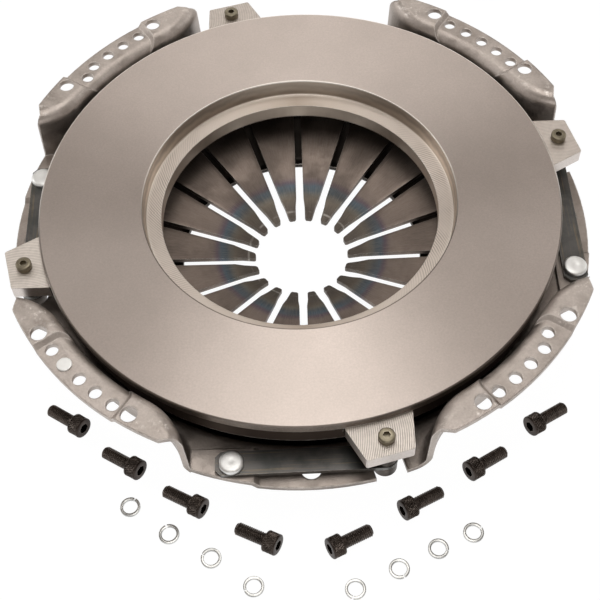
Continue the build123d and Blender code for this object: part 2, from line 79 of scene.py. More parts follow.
# Loose bolts: middle of the head's face, and the heading its head points to
bolt_places = [
    (-137.4, -129.2, -35.3),
    (-101.0, -159.1, -33.7),
    (-62.5, -185.4, -31.3),
    (-18.8, -209.7, -28.6),
    (10.7, -213.0, 207.5),
    (54.2, -190.8, 208.5),
    (95.4, -167.2, 211.9),
    (135.6, -138.5, 211.5),
]
washer_places = [
    (-107.0, -179.6),
    (-83.2, -197.7),
    (-58.2, -213.4),
    (-33.5, -231.4),
    (24.6, -234.9),
    (50.4, -223.7),
    (73.9, -212.3),
    (95.2, -203.1),
]
washer_turn = 47.0


# Node building

def feed(tree, socket, value):
    """Connects a socket, or sets its value."""
    if isinstance(value, bpy.types.NodeSocket):
        tree.links.new(value, socket)
    elif value is not None:
        socket.default_value = value


def calc(tree, operation, *values):
    """One step of arithmetic on numbers or sockets."""
    node = tree.nodes.new("ShaderNodeMath")
    node.operation = operation
    for socket, value in zip(node.inputs, values):
        feed(tree, socket, value)
    return node.outputs[0]


def product(tree, first, second):
    """Two numbers or sockets multiplied."""
    return calc(tree, "MULTIPLY", first, second)


def limits(tree, value, low, high, out_low=0.0, out_high=1.0):
    """Carries a value from one range to another, eased and held at the ends."""
    node = tree.nodes.new("ShaderNodeMapRange")
    node.interpolation_type = "SMOOTHSTEP"
    for name, given in (
        ("Value", value), ("From Min", low), ("From Max", high),
        ("To Min", out_low), ("To Max", out_high),
    ):
        feed(tree, node.inputs[name], given)
    return node.outputs[0]


def band(tree, value, low, high, soft):
    """One between two values, with soft ends."""
    rise = limits(tree, value, low - soft, low + soft)
    fall = limits(tree, value, high - soft, high + soft, 1.0, 0.0)
    return product(tree, rise, fall)


def mixed(tree, share, first, second):
    """Blends two colours."""
    node = tree.nodes.new("ShaderNodeMix")
    node.data_type = "RGBA"
    for index, value in ((0, share), (6, first), (7, second)):
        if isinstance(value, tuple) and len(value) == 3:
            value = value + (1.0,)
        feed(tree, node.inputs[index], value)
    return node.outputs[2]


def ramp(tree, value, stops):
    """Colours along a value, from (place, colour) pairs."""
    node = tree.nodes.new("ShaderNodeValToRGB")
    elements = node.color_ramp.elements
    while len(elements) < len(stops):
        elements.new(0.5)
    for element, (place, colour) in zip(elements, stops):
        element.position = place
        element.color = colour + (1.0,)
    feed(tree, node.inputs[0], value)
    return node.outputs[0]


def new_group(name, kind, inputs, outputs):
    """An empty node group with named sockets, given as (name, type, value)."""
    tree = bpy.data.node_groups.new(name, kind)
    for label, shape, value in inputs:
        socket = tree.interface.new_socket(label, in_out="INPUT", socket_type=shape)
        if value is not None:
            socket.default_value = value
    for label, shape in outputs:
        tree.interface.new_socket(label, in_out="OUTPUT", socket_type=shape)
    return tree, tree.nodes.new("NodeGroupInput"), tree.nodes.new("NodeGroupOutput")


def place_group(tree, group, **values):
    """Puts a shared effect into a material, with its own values."""
    node = tree.nodes.new("ShaderNodeGroup")
    node.node_tree = group
    for name, value in values.items():
        feed(tree, node.inputs[name.replace("_", " ").capitalize()], value)
    return node.outputs[0]


def own_position(tree):
    """The point on the piece, in its own coordinates."""
    return tree.nodes.new("ShaderNodeTexCoord").outputs["Object"]


def noise(tree, vector, scale, detail=3.0, rough=0.55):
    """Cloudy unevenness between nought and one."""
    node = tree.nodes.new("ShaderNodeTexNoise")
    feed(tree, node.inputs["Vector"], vector)
    feed(tree, node.inputs["Scale"], scale)
    node.inputs["Detail"].default_value = detail
    node.inputs["Roughness"].default_value = rough
    return node.outputs["Fac"]


def polar(tree, vector):
    """Distance from the clutch axis, angle about it, and height."""
    parts = tree.nodes.new("ShaderNodeSeparateXYZ")
    feed(tree, parts.inputs[0], vector)
    x, y, z = parts.outputs
    squares = calc(tree, "ADD", product(tree, x, x), product(tree, y, y))
    return calc(tree, "SQRT", squares), calc(tree, "ARCTAN2", y, x), z


# Shared effects

def make_grain():
    """Fine even grain of a ground or rolled surface."""
    tree, given, result = new_group(
        "fine grain", "ShaderNodeTree",
        [("Scale", "NodeSocketFloat", 900.0), ("Contrast", "NodeSocketFloat", 1.0)],
        [("Grain", "NodeSocketFloat")],
    )
    value = noise(tree, own_position(tree), given.outputs["Scale"], 4.0, 0.6)
    centred = product(tree, calc(tree, "SUBTRACT", value, 0.5), given.outputs["Contrast"])
    feed(tree, result.inputs[0], calc(tree, "ADD", centred, 0.5))
    return tree


def make_edge_wear():
    """Where corners are rubbed bright, broken up by small knocks."""
    tree, given, result = new_group(
        "rubbed corners", "ShaderNodeTree",
        [("Width", "NodeSocketFloat", 0.0008), ("Start", "NodeSocketFloat", 0.03)],
        [("Mask", "NodeSocketFloat")],
    )
    bevel = tree.nodes.new("ShaderNodeBevel")
    bevel.samples = 6
    feed(tree, bevel.inputs["Radius"], given.outputs["Width"])
    plain = tree.nodes.new("ShaderNodeNewGeometry").outputs["Normal"]
    dot = tree.nodes.new("ShaderNodeVectorMath")
    dot.operation = "DOT_PRODUCT"
    feed(tree, dot.inputs[0], bevel.outputs[0])
    feed(tree, dot.inputs[1], plain)
    turn = calc(tree, "SUBTRACT", 1.0, dot.outputs["Value"])
    knocks = noise(tree, own_position(tree), 420.0, 3.0)
    worn = limits(tree, turn, given.outputs["Start"], 0.16)
    broken = limits(tree, knocks, 0.32, 0.62, 0.35, 1.0)
    feed(tree, result.inputs[0], product(tree, worn, broken))
    return tree


def make_turning():
    """Rings left by a lathe tool, about the clutch axis."""
    tree, given, result = new_group(
        "turning rings", "ShaderNodeTree",
        [("Spacing", "NodeSocketFloat", 0.001), ("Wander", "NodeSocketFloat", 0.6)],
        [("Height", "NodeSocketFloat")],
    )
    where = own_position(tree)
    radius, _, _ = polar(tree, where)
    turns = calc(tree, "DIVIDE", radius, given.outputs["Spacing"])
    uneven = product(tree, noise(tree, where, 60.0, 2.0), given.outputs["Wander"])
    wave = calc(tree, "SINE", product(tree, calc(tree, "ADD", turns, uneven), 6.2832))
    feed(tree, result.inputs[0], calc(tree, "ADD", product(tree, wave, 0.5), 0.5))
    return tree


def make_facing():
    """Bowed parallel lines left by a facing cutter across each lug."""
    tree, given, result = new_group(
        "facing lines", "ShaderNodeTree",
        [("Spacing", "NodeSocketFloat", 0.0013), ("Bow", "NodeSocketFloat", 9.0)],
        [("Height", "NodeSocketFloat")],
    )
    where = own_position(tree)
    radius, angle, _ = polar(tree, where)
    along = product(tree, angle, screw_circle * MM)
    out = calc(tree, "SUBTRACT", radius, 0.160)
    bowed = product(tree, product(tree, out, out), given.outputs["Bow"])
    across = calc(tree, "DIVIDE", calc(tree, "ADD", along, bowed), given.outputs["Spacing"])
    saw = calc(tree, "FRACT", across)
    uneven = noise(tree, where, 300.0, 2.0)
    ridge = calc(tree, "POWER", calc(tree, "ABSOLUTE", calc(tree, "SUBTRACT", saw, 0.5)), 0.7)
    feed(
        tree, result.inputs[0],
        calc(tree, "ADD", product(tree, ridge, 1.2), product(tree, uneven, 0.5)),
    )
    return tree


def make_sweeps():
    """Slanting arcs that a wandering tool leaves across a turned ledge, strongest at two sides."""
    tree, given, result = new_group(
        "slanting sweeps", "ShaderNodeTree",
        [("Spacing", "NodeSocketFloat", 0.0025), ("Slant", "NodeSocketFloat", 1.3)],
        [("Height", "NodeSocketFloat")],
    )
    where = own_position(tree)
    radius, angle, _ = polar(tree, where)
    along = product(tree, angle, ledge_radius * MM)
    across = calc(tree, "ADD", along, product(tree, radius, given.outputs["Slant"]))
    turns = calc(tree, "DIVIDE", across, given.outputs["Spacing"])
    uneven = product(tree, noise(tree, where, 55.0, 3.0), 2.2)
    wave = calc(tree, "SINE", product(tree, calc(tree, "ADD", turns, uneven), 6.2832))
    sides = calc(tree, "ABSOLUTE", calc(tree, "COSINE", angle))
    patchy = limits(tree, noise(tree, where, 30.0, 2.0), 0.38, 0.62, 0.15, 1.0)
    shown = product(tree, limits(tree, sides, 0.45, 0.95), patchy)
    feed(tree, result.inputs[0], product(tree, limits(tree, wave, -0.3, 0.9), shown))
    return tree


def make_stains():
    """Large soft clouds of handling and oil film."""
    tree, given, result = new_group(
        "oil clouds", "ShaderNodeTree",
        [("Scale", "NodeSocketFloat", 16.0)],
        [("Cloud", "NodeSocketFloat")],
    )
    value = noise(tree, own_position(tree), given.outputs["Scale"], 5.0, 0.6)
    feed(tree, result.inputs[0], limits(tree, value, 0.34, 0.68))
    return tree


grain = make_grain()
edge_wear = make_edge_wear()
turning = make_turning()
facing = make_facing()
sweeps = make_sweeps()
stains = make_stains()


# Finishes

def new_finish(name, metallic, roughness=0.4):
    """A new material with its shader."""
    material = bpy.data.materials.new(name)
    material.use_nodes = True
    tree = material.node_tree
    shader = tree.nodes["Principled BSDF"]
    shader.inputs["Metallic"].default_value = metallic
    shader.inputs["Roughness"].default_value = roughness
    return material, tree, shader


def bump(tree, shader, height, strength, distance, rounding=0.0):
    """Small relief, over edges that shade as if rounded."""
    node = tree.nodes.new("ShaderNodeBump")
    if rounding:
        edge = tree.nodes.new("ShaderNodeBevel")
        edge.samples = 6
        edge.inputs["Radius"].default_value = rounding
        tree.links.new(edge.outputs[0], node.inputs["Normal"])
    node.inputs["Strength"].default_value = strength
    node.inputs["Distance"].default_value = distance
    feed(tree, node.inputs["Height"], height)
    feed(tree, shader.inputs["Normal"], node.outputs[0])


def cover_finish():
    """Bare pressed sheet: satin grey, rubbed on its bends and corners, with painted shade low down, deep in
    its dish and under the ring.
    """
    material, tree, shader = new_finish("bare pressed sheet", 0.87)
    where = own_position(tree)
    radius, _, height = polar(tree, where)
    cloud = place_group(tree, stains, scale=21.0)
    patch = place_group(tree, stains, scale=75.0)
    fine = place_group(tree, grain, scale=700.0, contrast=1.2)
    rubbed = place_group(tree, edge_wear, width=0.0014, start=0.015)
    # Painted shade: the sheet is painted darker towards its low parts, the channel and shelf, where shade
    # falls.
    low = limits(tree, height, -0.026, -0.038, 0.0, 1.0)
    colour = mixed(tree, cloud, (0.36, 0.315, 0.28), (0.58, 0.52, 0.475))
    colour = mixed(tree, product(tree, patch, 0.6), colour, (0.76, 0.69, 0.635))
    colour = mixed(tree, product(tree, fine, 0.5), colour, (0.24, 0.20, 0.18))
    colour = mixed(tree, product(tree, low, 0.45), colour, (0.24, 0.20, 0.17))
    # Painted shade: up-facing sheet deep in the dish under the spring and under the ring is painted near
    # black.
    slope = tree.nodes.new("ShaderNodeSeparateXYZ")
    feed(tree, slope.inputs[0], tree.nodes.new("ShaderNodeTexCoord").outputs["Normal"])
    upper_side = limits(tree, slope.outputs[2], -0.25, -0.05)
    dish = limits(tree, height, -0.0385, -0.0425, 0.0, 0.97)
    below_ring = limits(tree, height, -0.026, -0.030, 0.0, 0.9)
    hollow = product(tree, limits(tree, radius, 0.154, 0.148), below_ring)
    painted_shade_below = product(tree, calc(tree, "MAXIMUM", dish, hollow), upper_side)
    colour = mixed(tree, painted_shade_below, colour, (0.022, 0.018, 0.015))
    scuffs = limits(tree, noise(tree, where, 230.0, 7.0, 0.75), 0.50, 0.66, 0.0, 0.75)
    on_pads = band(tree, height, -0.0020, 0.0010, 0.0006)
    worn = product(tree, scuffs, limits(tree, noise(tree, where, 48.0, 3.0), 0.42, 0.60))
    marks = calc(tree, "MAXIMUM", product(tree, worn, on_pads), product(tree, rubbed, 0.85))
    colour = mixed(tree, marks, colour, (0.88, 0.83, 0.78))
    feed(tree, shader.inputs["Base Color"], colour)
    feed(tree, shader.inputs["Roughness"], limits(tree, patch, 0.0, 1.0, 0.36, 0.55))
    ripple = product(tree, noise(tree, where, 70.0, 5.0), 3.5)
    bump(tree, shader, calc(tree, "ADD", fine, ripple), 0.45, 0.0002, 0.0015)
    return material


def ring_finish():
    """Grey iron: ground face, turned ledge, faced lug tops, and brown cast skin elsewhere, with painted sheen
    on the bore's sides, a painted highlight on the ledge edge, and painted light and shade on the face rims
    and the lug tops.
    """
    material, tree, shader = new_finish("machined grey iron", 1.0)
    shader.inputs["Anisotropic"].default_value = 0.8
    shader.inputs["Anisotropic Rotation"].default_value = 0.25
    tangent = tree.nodes.new("ShaderNodeTangent")
    tangent.direction_type = "RADIAL"
    tangent.axis = "Z"
    tree.links.new(tangent.outputs[0], shader.inputs["Tangent"])
    where = own_position(tree)
    radius, angle, height = polar(tree, where)
    across = product(tree, radius, calc(tree, "SINE", angle))
    toward_back = limits(tree, across, -0.03, 0.03)
    cloud = place_group(tree, stains, scale=9.0)
    fine = place_group(tree, grain, scale=850.0, contrast=1.8)
    worn = place_group(tree, stains, scale=60.0)
    rings = place_group(tree, turning, spacing=0.0007, wander=1.1)
    lines = place_group(tree, facing, spacing=0.0013, bow=9.0)
    arcs = place_group(tree, sweeps, spacing=0.0025, slant=1.3)
    rubbed = place_group(tree, edge_wear, width=0.0006, start=0.03)
    skin = mixed(tree, cloud, (0.050, 0.037, 0.030), (0.105, 0.082, 0.068))
    ground = mixed(tree, cloud, (0.508, 0.443, 0.403), (0.572, 0.499, 0.456))
    ground = mixed(tree, product(tree, fine, 0.5), ground, (0.35, 0.305, 0.275))
    ground = mixed(tree, product(tree, worn, 0.12), ground, (0.40, 0.35, 0.315))
    turned_brown = mixed(tree, fine, (0.17, 0.14, 0.118), (0.30, 0.255, 0.22))
    face = face_height * MM
    rim_low = face - rim_band * MM
    rim = limits(tree, height, rim_low - 0.0003, rim_low + 0.0001)
    colour = mixed(tree, rim, skin, turned_brown)
    on_face = limits(tree, height, face - 0.0008, face - 0.0004)
    colour = mixed(tree, on_face, colour, ground)
    inside = limits(tree, radius, bore_radius * MM + 0.0005, bore_radius * MM - 0.0001)
    # Painted sheen: the bore wall and the ledge are painted lighter at the left and right sides and darker at
    # the front and back, standing in for the light that turned metal reflects.
    painted_sheen_sides = calc(tree, "ABSOLUTE", calc(tree, "COSINE", angle))
    wall = mixed(tree, painted_sheen_sides, (0.44, 0.37, 0.305), (0.68, 0.585, 0.495))
    wall = mixed(tree, product(tree, rings, 0.45), wall, (0.30, 0.25, 0.205))
    ledge_top = ledge_height * MM
    on_ledge = band(tree, height, ledge_top - 0.0020, ledge_top + 0.0003, 0.0002)
    ledge_with_painted_sheen = mixed(tree, painted_sheen_sides, (0.31, 0.26, 0.215), (0.80, 0.72, 0.65))
    ledge = mixed(tree, product(tree, rings, 0.22), ledge_with_painted_sheen, (0.27, 0.225, 0.19))
    ledge = mixed(tree, product(tree, arcs, 0.60), ledge, (0.24, 0.20, 0.17))
    bored = mixed(tree, on_ledge, wall, ledge)
    # Painted highlight: a bright line along the ledge edge.
    painted_ledge_highlight = band(tree, height, ledge_top - 0.0001, ledge_top + 0.0007, 0.0003)
    bored = mixed(tree, painted_ledge_highlight, bored, (0.82, 0.76, 0.69))
    colour = mixed(tree, inside, colour, bored)
    back = limits(tree, height, ring_back * MM + 0.0002, ring_back * MM - 0.0003)
    colour = mixed(tree, back, colour, skin)
    outer = ring_radius * MM
    lug = product(
        tree,
        limits(tree, radius, outer + 0.0002, outer + 0.0008),
        band(tree, height, -0.0186, -0.0090, 0.0003),
    )
    lug_side = mixed(tree, fine, (0.62, 0.56, 0.52), (0.78, 0.72, 0.68))
    colour = mixed(tree, lug, colour, lug_side)
    lug_face = product(tree, limits(tree, height, lug_top * MM - 0.0005, lug_top * MM - 0.0002), lug)
    faced = mixed(tree, lines, (0.30, 0.26, 0.23), (0.74, 0.68, 0.62))
    # Painted shade: lug tops towards the back are painted darker.
    faced = mixed(tree, product(tree, toward_back, 0.3), faced, (0.36, 0.30, 0.265))
    colour = mixed(tree, lug_face, colour, faced)
    colour = mixed(tree, product(tree, rubbed, 0.9), colour, (0.88, 0.84, 0.78))
    # Painted light and shade: thin lines at the face's inner and outer rims, painted bright at the back as a
    # highlight and dark at the front as shade.
    rims = calc(
        tree, "MAXIMUM",
        band(tree, radius, bore_radius * MM - 0.0002, bore_radius * MM + 0.0006, 0.0001),
        band(tree, radius, outer - 0.0010, outer, 0.0001),
    )
    painted_rim_lines = product(tree, rims, band(tree, height, face - 0.0009, face + 0.0005, 0.0001))
    painted_rim_light_and_shade = mixed(tree, toward_back, (0.12, 0.10, 0.085), (0.95, 0.90, 0.84))
    colour = mixed(tree, product(tree, painted_rim_lines, 0.85), colour, painted_rim_light_and_shade)
    feed(tree, shader.inputs["Base Color"], colour)
    worked = calc(
        tree, "MAXIMUM", calc(tree, "MAXIMUM", on_face, inside), calc(tree, "MAXIMUM", lug, rim)
    )
    feed(tree, shader.inputs["Roughness"], limits(tree, worked, 0.0, 1.0, 0.62, 0.36))
    cut = calc(
        tree, "ADD",
        product(tree, product(tree, lines, lug_face), 2.0),
        product(tree, product(tree, calc(tree, "ADD", rings, arcs), inside), 0.5),
    )
    bump(tree, shader, calc(tree, "ADD", cut, product(tree, fine, 0.35)), 0.5, 0.00012, 0.0005)
    return material


def spring_finish():
    """Dark spring steel with olive to blue heat bands about the fingers, and a bright contact line."""
    material, tree, shader = new_finish("heat tinted spring steel", 1.0)
    where = own_position(tree)
    radius, angle, _ = polar(tree, where)
    drift = product(tree, calc(tree, "SUBTRACT", noise(tree, where, 35.0), 0.5), 0.006)
    share = calc(tree, "DIVIDE", calc(tree, "ADD", radius, drift), 0.15)
    tint = ramp(tree, share, [
        (0.0, (0.12, 0.105, 0.092)),
        (0.262, (0.120, 0.106, 0.090)),
        (0.296, (0.160, 0.140, 0.110)),
        (0.318, (0.118, 0.120, 0.108)),
        (0.336, (0.056, 0.086, 0.106)),
        (0.358, (0.060, 0.102, 0.136)),
        (0.376, (0.108, 0.080, 0.106)),
        (0.398, (0.205, 0.165, 0.144)),
        (0.440, (0.225, 0.180, 0.153)),
        (1.0, (0.17, 0.138, 0.117)),
    ])
    along = tree.nodes.new("ShaderNodeCombineXYZ")
    feed(tree, along.inputs[0], product(tree, radius, 110.0))
    feed(tree, along.inputs[1], product(tree, angle, 130.0))
    rolled = limits(tree, noise(tree, along.outputs[0], 1.0, 4.0, 0.65), 0.35, 0.68)
    fine = place_group(tree, grain, scale=650.0, contrast=1.0)
    cloud = place_group(tree, stains, scale=45.0)
    tint = mixed(tree, product(tree, cloud, 0.40), tint, (0.12, 0.098, 0.084))
    tint = mixed(tree, product(tree, fine, 0.35), tint, (0.07, 0.056, 0.048))
    tint = mixed(tree, product(tree, rolled, 0.24), tint, (0.32, 0.27, 0.235))
    contact = band(tree, radius, 0.0352, 0.0364, 0.0004)
    broken = limits(tree, noise(tree, where, 130.0, 3.0), 0.42, 0.62)
    rubbed = place_group(tree, edge_wear, width=0.0007, start=0.03)
    bright = calc(
        tree, "MAXIMUM",
        product(tree, contact, product(tree, broken, 0.4)),
        product(tree, rubbed, 0.55),
    )
    feed(tree, shader.inputs["Base Color"], mixed(tree, bright, tint, (0.66, 0.63, 0.58)))
    feed(tree, shader.inputs["Roughness"], limits(tree, cloud, 0.0, 1.0, 0.40, 0.55))
    bump(tree, shader, calc(tree, "ADD", fine, rolled), 0.4, 0.00010)
    return material


def strap_finish():
    """Dark heat-tinted strap steel with golden brown streaks along each leaf."""
    material, tree, shader = new_finish("tinted strap steel", 1.0)
    across = tree.nodes.new("ShaderNodeUVMap").outputs[0]
    parts = tree.nodes.new("ShaderNodeSeparateXYZ")
    feed(tree, parts.inputs[0], across)
    stretched = tree.nodes.new("ShaderNodeCombineXYZ")
    feed(tree, stretched.inputs[0], product(tree, parts.outputs[0], 6.0))
    feed(tree, stretched.inputs[1], product(tree, parts.outputs[1], 400.0))
    streaks = limits(tree, noise(tree, stretched.outputs[0], 3.0, 4.0), 0.52, 0.72)
    fine = place_group(tree, grain, scale=900.0, contrast=0.8)
    colour = mixed(tree, streaks, (0.125, 0.120, 0.115), (0.27, 0.21, 0.13))
    colour = mixed(tree, product(tree, fine, 0.25), colour, (0.20, 0.19, 0.18))
    blotches = place_group(tree, stains, scale=75.0)
    colour = mixed(tree, product(tree, blotches, 0.6), colour, (0.060, 0.066, 0.064))
    rubbed = place_group(tree, edge_wear, width=0.0004, start=0.03)
    feed(tree, shader.inputs["Base Color"], mixed(tree, rubbed, colour, (0.42, 0.40, 0.37)))
    shader.inputs["Roughness"].default_value = 0.38
    bump(tree, shader, calc(tree, "ADD", streaks, fine), 0.25, 0.00008)
    return material


def plain_finish(name, dark, light, worn, roughness, scale, knock=0.0008):
    """A small part's finish: two cloudy tones, fine grain and rubbed corners."""
    material, tree, shader = new_finish(name, 1.0)
    cloud = place_group(tree, stains, scale=scale)
    fine = place_group(tree, grain, scale=scale * 14, contrast=1.0)
    rubbed = place_group(tree, edge_wear, width=knock, start=0.03)
    colour = mixed(tree, cloud, dark, light)
    colour = mixed(tree, product(tree, fine, 0.35), colour, dark)
    feed(tree, shader.inputs["Base Color"], mixed(tree, rubbed, colour, worn))
    dull = limits(tree, fine, 0.2, 0.8, roughness - 0.06, roughness + 0.08)
    feed(tree, shader.inputs["Roughness"], dull)
    bump(tree, shader, fine, 0.2, 0.00008)
    return material


finishes = {
    "cover_steel": cover_finish(),
    "machined_iron": ring_finish(),
    "heat_tinted_spring_steel": spring_finish(),
    "tinted_strap_steel": strap_finish(),
    "wire_steel": plain_finish(
        "drawn wire", (0.25, 0.24, 0.23), (0.40, 0.38, 0.36), (0.6, 0.58, 0.55), 0.35, 60.0
    ),
    "rivet_steel": plain_finish(
        "headed steel", (0.22, 0.20, 0.19), (0.36, 0.34, 0.32), (0.6, 0.57, 0.53), 0.42, 70.0
    ),
    "zinc_plated_rivet": plain_finish(
        "bright zinc", (0.82, 0.82, 0.80), (0.93, 0.93, 0.91), (0.96, 0.96, 0.95), 0.44, 80.0
    ),
    "olive_screw": plain_finish(
        "olive plating", (0.20, 0.175, 0.125), (0.33, 0.29, 0.215), (0.56, 0.50, 0.39), 0.36, 160.0
    ),
    "dark_collar": plain_finish(
        "oiled dark steel", (0.045, 0.036, 0.030), (0.11, 0.090, 0.075), (0.25, 0.21, 0.18), 0.42, 90.0
    ),
    "black_bolt": plain_finish(
        "black oxide", (0.038, 0.030, 0.026), (0.075, 0.060, 0.052), (0.32, 0.275, 0.24), 0.38,
        150.0, 0.0005,
    ),
    "bright_washer": plain_finish(
        "bright plated washer", (0.33, 0.33, 0.32), (0.64, 0.64, 0.62), (0.93, 0.93, 0.92), 0.22, 140.0,
        0.0004,
    ),
}


# Pieces

def new_object(name, mesh):
    """Puts a mesh into the scene as one piece."""
    piece = bpy.data.objects.new(name, mesh)
    bpy.context.scene.collection.objects.link(piece)
    return piece


def settled(piece, name, finish):
    """Turns a piece and its modifiers into one plain mesh that faces outward."""
    bpy.context.view_layer.update()
    evaluated = piece.evaluated_get(bpy.context.evaluated_depsgraph_get())
    mesh = bpy.data.meshes.new_from_object(evaluated)
    mesh.name = name
    bpy.data.objects.remove(piece)
    shape = bmesh.new()
    shape.from_mesh(mesh)
    bmesh.ops.remove_doubles(shape, verts=shape.verts, dist=1e-6)
    bmesh.ops.recalc_face_normals(shape, faces=shape.faces)
    if shape.calc_volume(signed=True) < 0:
        bmesh.ops.reverse_faces(shape, faces=shape.faces)
    shape.to_mesh(mesh)
    shape.free()
    mesh.materials.clear()
    mesh.materials.append(finishes[finish])
    return mesh


def seat(mesh, name, node, body, place=None, smooth=40.0):
    """Puts a copy of a mesh where its construction node is."""
    own = mesh.copy()
    own.name = name
    if place is not None:
        own.transform(place)
    piece = new_object(name, own)
    own.shade_smooth()
    own.set_sharp_from_angle(angle=math.radians(smooth))
    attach(piece, body)
    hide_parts(node)
    return piece


def set_input(modifier, tree, name, value):
    """Sets a named size of a construction tree on one modifier."""
    for item in tree.interface.items_tree:
        if item.name == name and item.in_out == "INPUT":
            modifier[item.identifier] = value
            return
    raise ValueError(name)


def geometry_node(tree, kind, **values):
    """Adds one geometry step with its inputs."""
    node = tree.nodes.new(kind)
    for name, value in values.items():
        feed(tree, node.inputs[name.replace("_", " ")], value)
    return node


def make_turned_tree():
    """Turns a half outline about Z, then cuts a thread, a knurl and a hexagon socket into it."""
    tree, given, result = new_group(
        "turned part", "GeometryNodeTree",
        [
            ("Outline", "NodeSocketGeometry", None),
            ("Columns", "NodeSocketInt", 120),
            ("Thread pitch", "NodeSocketFloat", 0.0014),
            ("Thread depth", "NodeSocketFloat", 0.0),
            ("Thread low", "NodeSocketFloat", 0.0),
            ("Thread high", "NodeSocketFloat", 0.0),
            ("Knurl count", "NodeSocketFloat", 30.0),
            ("Knurl depth", "NodeSocketFloat", 0.0),
            ("Knurl slant", "NodeSocketFloat", 0.0),
            ("Knurl low", "NodeSocketFloat", 0.0),
            ("Knurl high", "NodeSocketFloat", 0.0),
            ("Core radius", "NodeSocketFloat", 0.0),
            ("Socket apothem", "NodeSocketFloat", 0.0),
            ("Socket floor", "NodeSocketFloat", 0.0),
            ("Finish", "NodeSocketMaterial", None),
        ],
        [("Part", "NodeSocketGeometry")],
    )
    size = given.outputs
    outline = geometry_node(tree, "GeometryNodeMeshToCurve", Mesh=size["Outline"])
    path = geometry_node(tree, "GeometryNodeCurvePrimitiveCircle", Resolution=size["Columns"])
    path.inputs["Radius"].default_value = 1e-4
    sweep = tree.nodes.new("GeometryNodeCurveToMesh")
    tree.links.new(path.outputs["Curve"], sweep.inputs["Curve"])
    tree.links.new(outline.outputs["Curve"], sweep.inputs["Profile Curve"])
    joined = geometry_node(tree, "GeometryNodeMergeByDistance", Geometry=sweep.outputs["Mesh"])
    joined.inputs["Distance"].default_value = 2e-6
    radius, angle, height = polar(tree, tree.nodes.new("GeometryNodeInputPosition").outputs[0])

    def within(low, high):
        above = calc(tree, "GREATER_THAN", height, low)
        return product(tree, above, calc(tree, "LESS_THAN", height, high))

    outer = calc(tree, "GREATER_THAN", radius, size["Core radius"])
    helix = calc(
        tree, "FRACT",
        calc(
            tree, "SUBTRACT",
            calc(tree, "DIVIDE", height, size["Thread pitch"]), calc(tree, "DIVIDE", angle, 2 * math.pi),
        ),
    )
    groove = product(tree, calc(tree, "ABSOLUTE", calc(tree, "SUBTRACT", helix, 0.5)), 2.0)
    thread = product(
        tree,
        product(tree, groove, size["Thread depth"]), within(size["Thread low"], size["Thread high"]),
    )
    ridge = calc(
        tree, "ABSOLUTE",
        calc(tree, "SUBTRACT",
             calc(tree, "FRACT",
                  calc(tree, "ADD",
                       product(tree, calc(tree, "DIVIDE", angle, 2 * math.pi), size["Knurl count"]),
                       product(tree, product(tree, height, 1000.0), size["Knurl slant"]))),
             0.5),
    )
    knurl = product(
        tree,
        product(tree, ridge, product(tree, size["Knurl depth"], 2.0)),
        within(size["Knurl low"], size["Knurl high"]),
    )
    cut = product(tree, outer, calc(tree, "ADD", thread, knurl))
    sixth = calc(tree, "ADD", calc(tree, "DIVIDE", angle, math.pi / 3), 12.0)
    bearing = product(tree, calc(tree, "SUBTRACT", calc(tree, "FRACT", sixth), 0.5), math.pi / 3)
    hexagon = calc(tree, "DIVIDE", 1.0, calc(tree, "COSINE", bearing))
    in_socket = product(
        tree,
        calc(tree, "LESS_THAN", radius, calc(tree, "ADD", size["Socket apothem"], 1e-6)),
        calc(tree, "GREATER_THAN", height, calc(tree, "SUBTRACT", size["Socket floor"], 2e-5)),
    )
    spread = calc(
        tree, "ADD", 1.0,
        product(tree, in_socket, calc(tree, "SUBTRACT", hexagon, 1.0)),
    )
    grown = product(tree, calc(tree, "SUBTRACT", radius, cut), spread)
    target = tree.nodes.new("ShaderNodeCombineXYZ")
    feed(tree, target.inputs[0], product(tree, grown, calc(tree, "COSINE", angle)))
    feed(tree, target.inputs[1], product(tree, grown, calc(tree, "SINE", angle)))
    feed(tree, target.inputs[2], height)
    shaped = geometry_node(
        tree, "GeometryNodeSetPosition", Geometry=joined.outputs[0], Position=target.outputs[0]
    )
    real = geometry_node(tree, "GeometryNodeRealizeInstances", Geometry=shaped.outputs[0])
    faced = geometry_node(
        tree, "GeometryNodeSetMaterial", Geometry=real.outputs[0], Material=size["Finish"]
    )
    tree.links.new(faced.outputs[0], result.inputs[0])
    return tree


